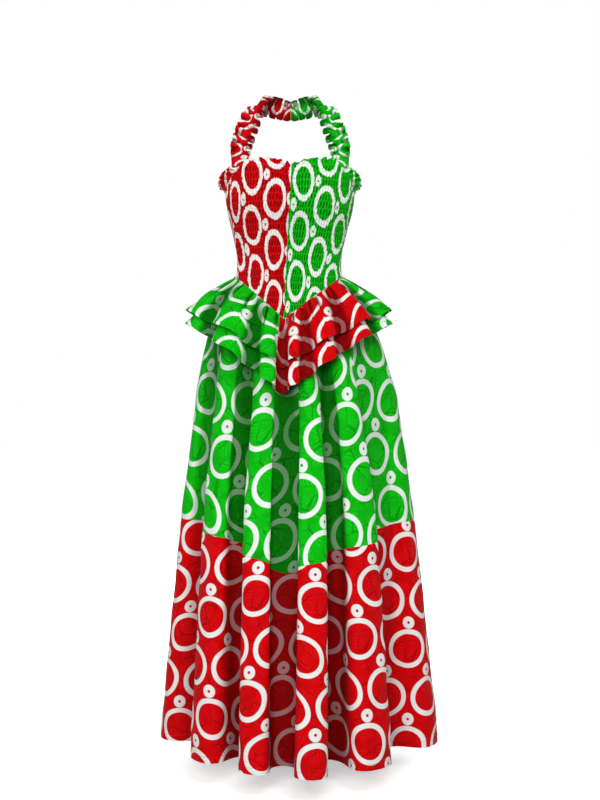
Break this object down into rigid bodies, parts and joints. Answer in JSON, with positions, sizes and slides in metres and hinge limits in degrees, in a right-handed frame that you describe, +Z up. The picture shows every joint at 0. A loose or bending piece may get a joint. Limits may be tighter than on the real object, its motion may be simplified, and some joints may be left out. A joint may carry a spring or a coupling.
{
  "type": "maxi dress",
  "caption": "Floor-length halter dress with a shirred bodice, ruffled straps, a V waist with a two-tier peplum and a full skirt in two tiers.",
  "frame": {"origin": "the nape, on the face of the straps that lies on the neck, where they meet", "axes": "+Z up along the wearer's body, -Y to the front, +X to the right of somebody who looks at the front"},
  "size_m": [0.645, 0.6302, 1.5095],
  "materials": {
    "red_cotton": "matte printed cotton",
    "green_cotton": "matte printed cotton"
  },
  "bodies": {
    "root": {"bodice_front_red": "red_cotton", "bodice_front_green": "green_cotton", "bodice_back_green": "green_cotton", "bodice_back_red": "red_cotton", "strap_red": "red_cotton", "strap_green": "green_cotton", "armhole_frill_red": "red_cotton", "armhole_frill_green": "green_cotton", "peplum_upper_front_green": "green_cotton", "peplum_upper_front_red": "red_cotton", "peplum_upper_back_green": "green_cotton", "peplum_upper_back_red": "red_cotton", "peplum_lower_front_green": "green_cotton", "peplum_lower_front_red": "red_cotton", "peplum_lower_back_green": "green_cotton", "peplum_lower_back_red": "red_cotton", "skirt_upper_front": "green_cotton", "skirt_upper_back": "green_cotton", "skirt_lower_front": "red_cotton", "skirt_lower_back": "red_cotton"}
  },
  "joints": []
}
